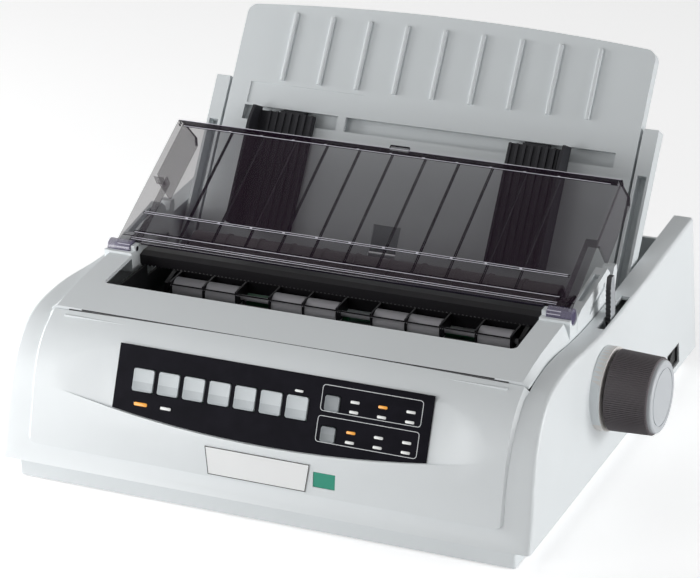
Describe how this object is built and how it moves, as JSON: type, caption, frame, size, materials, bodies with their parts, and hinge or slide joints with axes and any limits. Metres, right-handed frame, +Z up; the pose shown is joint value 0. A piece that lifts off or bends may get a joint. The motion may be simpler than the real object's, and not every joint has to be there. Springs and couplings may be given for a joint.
{
  "type": "dot matrix printer",
  "caption": "Desktop dot matrix printer with access cover, smoke lid, raised paper separator, sheet guides, platen knob and key panel.",
  "frame": {"origin": "middle of the whole object's box, at the desk", "axes": "+X to the right as seen from the front, +Y to the rear, +Z up"},
  "size_m": [0.438, 0.3605, 0.2485],
  "materials": {
    "casing_grey": "fine-textured light cool grey moulding",
    "separator_grey": "fine-textured light grey moulding",
    "plate_white": "smooth white",
    "panel_black": "satin black film",
    "key_grey": "mid grey",
    "lamp_white": "clear diffused windows",
    "board_green": "green laminate",
    "steel": "bright steel",
    "inside_black": "black moulding",
    "motor_steel": "dark grey steel can",
    "belt_rubber": "black rubber",
    "gear_white": "natural acetal",
    "pinion_brass": "machined brass",
    "guide_dark": "dark grey moulding",
    "smoke_clear": "smoke-tinted clear plastic",
    "knob_brown": "dark warm grey, ribbed",
    "cap_grey": "light warm grey",
    "lever_grey": "light grey with dark grip",
    "switch_black": "black",
    "roller_grey": "grey rubber on a steel spindle",
    "head_metal": "cast aluminium with cooling fins"
  },
  "bodies": {
    "casing": {"upper_casing": "casing_grey", "lower_casing": "casing_grey", "front_plates": "plate_white", "control_panel": "panel_black", "panel_lamps": "lamp_white", "key_board": "board_green", "hinge_pins": "steel", "side_frames": "inside_black", "chassis_tray": "steel", "platen_pan": "inside_black", "paper_chute": "separator_grey", "line_feed_motor": "motor_steel", "carriage_motor": "motor_steel", "tractor_support": "steel", "carriage_rail": "steel", "carriage_belt": "belt_rubber", "switch_body": "switch_black", "rear_sockets": "switch_black", "main_board": "board_green", "feet": "belt_rubber"},
    "cover": {"access_cover": "casing_grey", "tear_bar": "inside_black"},
    "lid": {"smoke_lid": "smoke_clear"},
    "separator": {"paper_separator": "separator_grey", "separator_frame": "separator_grey"},
    "left_guide": {"left_sheet_guide": "guide_dark"},
    "right_guide": {"right_sheet_guide": "guide_dark"},
    "platen": {"platen_shaft": "steel", "platen_roller": "belt_rubber", "platen_gear": "gear_white", "platen_knob": "knob_brown", "knob_cap": "cap_grey"},
    "idler": {"idler_gear": "gear_white"},
    "transfer": {"transfer_gear": "gear_white"},
    "pinion": {"motor_pinion": "pinion_brass"},
    "tractor_drive": {"tractor_shaft": "steel", "tractor_gear": "gear_white"},
    "left_tractor": {"left_tractor": "inside_black"},
    "right_tractor": {"right_tractor": "inside_black"},
    "left_sprocket": {"left_sprocket": "gear_white"},
    "right_sprocket": {"right_sprocket": "gear_white"},
    "bail": {"paper_bail": "inside_black"},
    "bail_rollers": {"bail_rollers": "roller_grey"},
    "carriage": {"carriage": "inside_black", "print_head": "head_metal", "ribbon_cartridge": "inside_black"},
    "ribbon_knob": {"ribbon_knob": "inside_black"},
    "motor_pulley": {"motor_pulley": "gear_white"},
    "idler_pulley": {"idler_pulley": "gear_white"},
    "paper_lever": {"paper_lever": "lever_grey"},
    "rocker": {"power_rocker": "switch_black"},
    "select_key": {"select_key": "key_grey"},
    "shift_key": {"shift_key": "key_grey"},
    "line_feed_key": {"line_feed_key": "key_grey"},
    "form_feed_key": {"form_feed_key": "key_grey"},
    "tear_off_key": {"tear_off_key": "key_grey"},
    "park_key": {"park_key": "key_grey"},
    "quiet_key": {"quiet_key": "key_grey"},
    "quality_key": {"quality_key": "key_grey"},
    "pitch_key": {"pitch_key": "key_grey"}
  },
  "joints": [
    {"name": "cover_hinge", "type": "hinge", "parent": "casing", "child": "cover", "pos_m": [-0.02, 0.02823, 0.104], "axis": [-1, 0, 0], "range_deg": [0, 15]},
    {"name": "lid_hinge", "type": "hinge", "parent": "cover", "child": "lid", "pos_m": [-0.02, -0.04277, 0.1246], "axis": [1, 0, 0], "range_deg": [0, 75]},
    {"name": "separator_hinge", "type": "hinge", "parent": "casing", "child": "separator", "pos_m": [-0.02, 0.07223, 0.0914], "axis": [-1, 0, 0], "range_deg": [0, 47]},
    {"name": "left_guide_slide", "type": "slide", "parent": "separator", "child": "left_guide", "axis": [1, 0, 0], "range_m": [-0.01, 0.024]},
    {"name": "right_guide_slide", "type": "slide", "parent": "separator", "child": "right_guide", "axis": [1, 0, 0], "range_m": [-0.11, 0.03]},
    {"name": "platen_spin", "type": "hinge", "parent": "casing", "child": "platen", "pos_m": [-0.02, -0.03277, 0.07], "axis": [1, 0, 0], "continuous": true},
    {"name": "idler_spin", "type": "hinge", "parent": "casing", "child": "idler", "pos_m": [-0.176, -0.00527, 0.04524], "axis": [1, 0, 0], "continuous": true},
    {"name": "transfer_spin", "type": "hinge", "parent": "casing", "child": "transfer", "pos_m": [-0.176, 0.0346, 0.06135], "axis": [1, 0, 0], "continuous": true},
    {"name": "pinion_spin", "type": "hinge", "parent": "casing", "child": "pinion", "pos_m": [-0.176, 0.00016, 0.02496], "axis": [1, 0, 0], "continuous": true},
    {"name": "tractor_spin", "type": "hinge", "parent": "casing", "child": "tractor_drive", "pos_m": [-0.02, 0.07959, 0.07091], "axis": [1, 0, 0], "continuous": true},
    {"name": "left_tractor_slide", "type": "slide", "parent": "casing", "child": "left_tractor", "axis": [1, 0, 0], "range_m": [-0.015, 0.09]},
    {"name": "right_tractor_slide", "type": "slide", "parent": "casing", "child": "right_tractor", "axis": [1, 0, 0], "range_m": [-0.09, 0.015]},
    {"name": "left_sprocket_spin", "type": "hinge", "parent": "left_tractor", "child": "left_sprocket", "pos_m": [-0.13, 0.07959, 0.07091], "axis": [1, 0, 0], "continuous": true},
    {"name": "right_sprocket_spin", "type": "hinge", "parent": "right_tractor", "child": "right_sprocket", "pos_m": [0.09, 0.07959, 0.07091], "axis": [1, 0, 0], "continuous": true},
    {"name": "bail_hinge", "type": "hinge", "parent": "casing", "child": "bail", "pos_m": [-0.02, -0.00177, 0.096], "axis": [-1, 0, 0], "range_deg": [0, 10]},
    {"name": "bail_roller_spin", "type": "hinge", "parent": "bail", "child": "bail_rollers", "pos_m": [-0.02, -0.03377, 0.0948], "axis": [1, 0, 0], "continuous": true},
    {"name": "carriage_travel", "type": "slide", "parent": "casing", "child": "carriage", "axis": [1, 0, 0], "range_m": [0, 0.248]},
    {"name": "ribbon_knob_spin", "type": "hinge", "parent": "carriage", "child": "ribbon_knob", "pos_m": [-0.144, -0.07277, 0.1], "axis": [0, 0, 1], "continuous": true},
    {"name": "motor_pulley_spin", "type": "hinge", "parent": "casing", "child": "motor_pulley", "pos_m": [0.108, -0.08377, 0.04], "axis": [0, 0, 1], "continuous": true},
    {"name": "idler_pulley_spin", "type": "hinge", "parent": "casing", "child": "idler_pulley", "pos_m": [-0.148, -0.08377, 0.04], "axis": [0, 0, 1], "continuous": true},
    {"name": "paper_lever_hinge", "type": "hinge", "parent": "casing", "child": "paper_lever", "pos_m": [0.1695, 0.00023, 0.062], "axis": [1, 0, 0], "range_deg": [-20, 14]},
    {"name": "rocker_hinge", "type": "hinge", "parent": "casing", "child": "rocker", "pos_m": [0.174, 0.11173, 0.02725], "axis": [0, 0, -1], "range_deg": [0, 12]},
    {"name": "select_key_press", "type": "slide", "parent": "casing", "child": "select_key", "axis": [0, 0.9135, -0.4067], "range_m": [0, 0.001], "stiffness_N_per_m": 400, "springref_m": -0.0005},
    {"name": "shift_key_press", "type": "slide", "parent": "casing", "child": "shift_key", "axis": [0, 0.9135, -0.4067], "range_m": [0, 0.001], "stiffness_N_per_m": 400, "springref_m": -0.0005},
    {"name": "line_feed_key_press", "type": "slide", "parent": "casing", "child": "line_feed_key", "axis": [0, 0.9135, -0.4067], "range_m": [0, 0.001], "stiffness_N_per_m": 400, "springref_m": -0.0005},
    {"name": "form_feed_key_press", "type": "slide", "parent": "casing", "child": "form_feed_key", "axis": [0, 0.9135, -0.4067], "range_m": [0, 0.001], "stiffness_N_per_m": 400, "springref_m": -0.0005},
    {"name": "tear_off_key_press", "type": "slide", "parent": "casing", "child": "tear_off_key", "axis": [0, 0.9135, -0.4067], "range_m": [0, 0.001], "stiffness_N_per_m": 400, "springref_m": -0.0005},
    {"name": "park_key_press", "type": "slide", "parent": "casing", "child": "park_key", "axis": [0, 0.9135, -0.4067], "range_m": [0, 0.001], "stiffness_N_per_m": 400, "springref_m": -0.0005},
    {"name": "quiet_key_press", "type": "slide", "parent": "casing", "child": "quiet_key", "axis": [0, 0.9135, -0.4067], "range_m": [0, 0.001], "stiffness_N_per_m": 400, "springref_m": -0.0005},
    {"name": "quality_key_press", "type": "slide", "parent": "casing", "child": "quality_key", "axis": [0, 0.9135, -0.4067], "range_m": [0, 0.001], "stiffness_N_per_m": 400, "springref_m": -0.0005},
    {"name": "pitch_key_press", "type": "slide", "parent": "casing", "child": "pitch_key", "axis": [0, 0.9135, -0.4067], "range_m": [0, 0.001], "stiffness_N_per_m": 400, "springref_m": -0.0005}
  ],
  "couplings": [
    {"joint": "idler_spin", "follows": "platen_spin", "ratio": -1.8462},
    {"joint": "transfer_spin", "follows": "platen_spin", "ratio": 0.8},
    {"joint": "tractor_spin", "follows": "platen_spin", "ratio": -1.5},
    {"joint": "pinion_spin", "follows": "platen_spin", "ratio": 3},
    {"joint": "left_sprocket_spin", "follows": "platen_spin", "ratio": -1.5},
    {"joint": "right_sprocket_spin", "follows": "platen_spin", "ratio": -1.5},
    {"joint": "motor_pulley_spin", "follows": "carriage_travel", "rad_per_m": -143.88},
    {"joint": "idler_pulley_spin", "follows": "carriage_travel", "rad_per_m": -143.88}
  ]
}
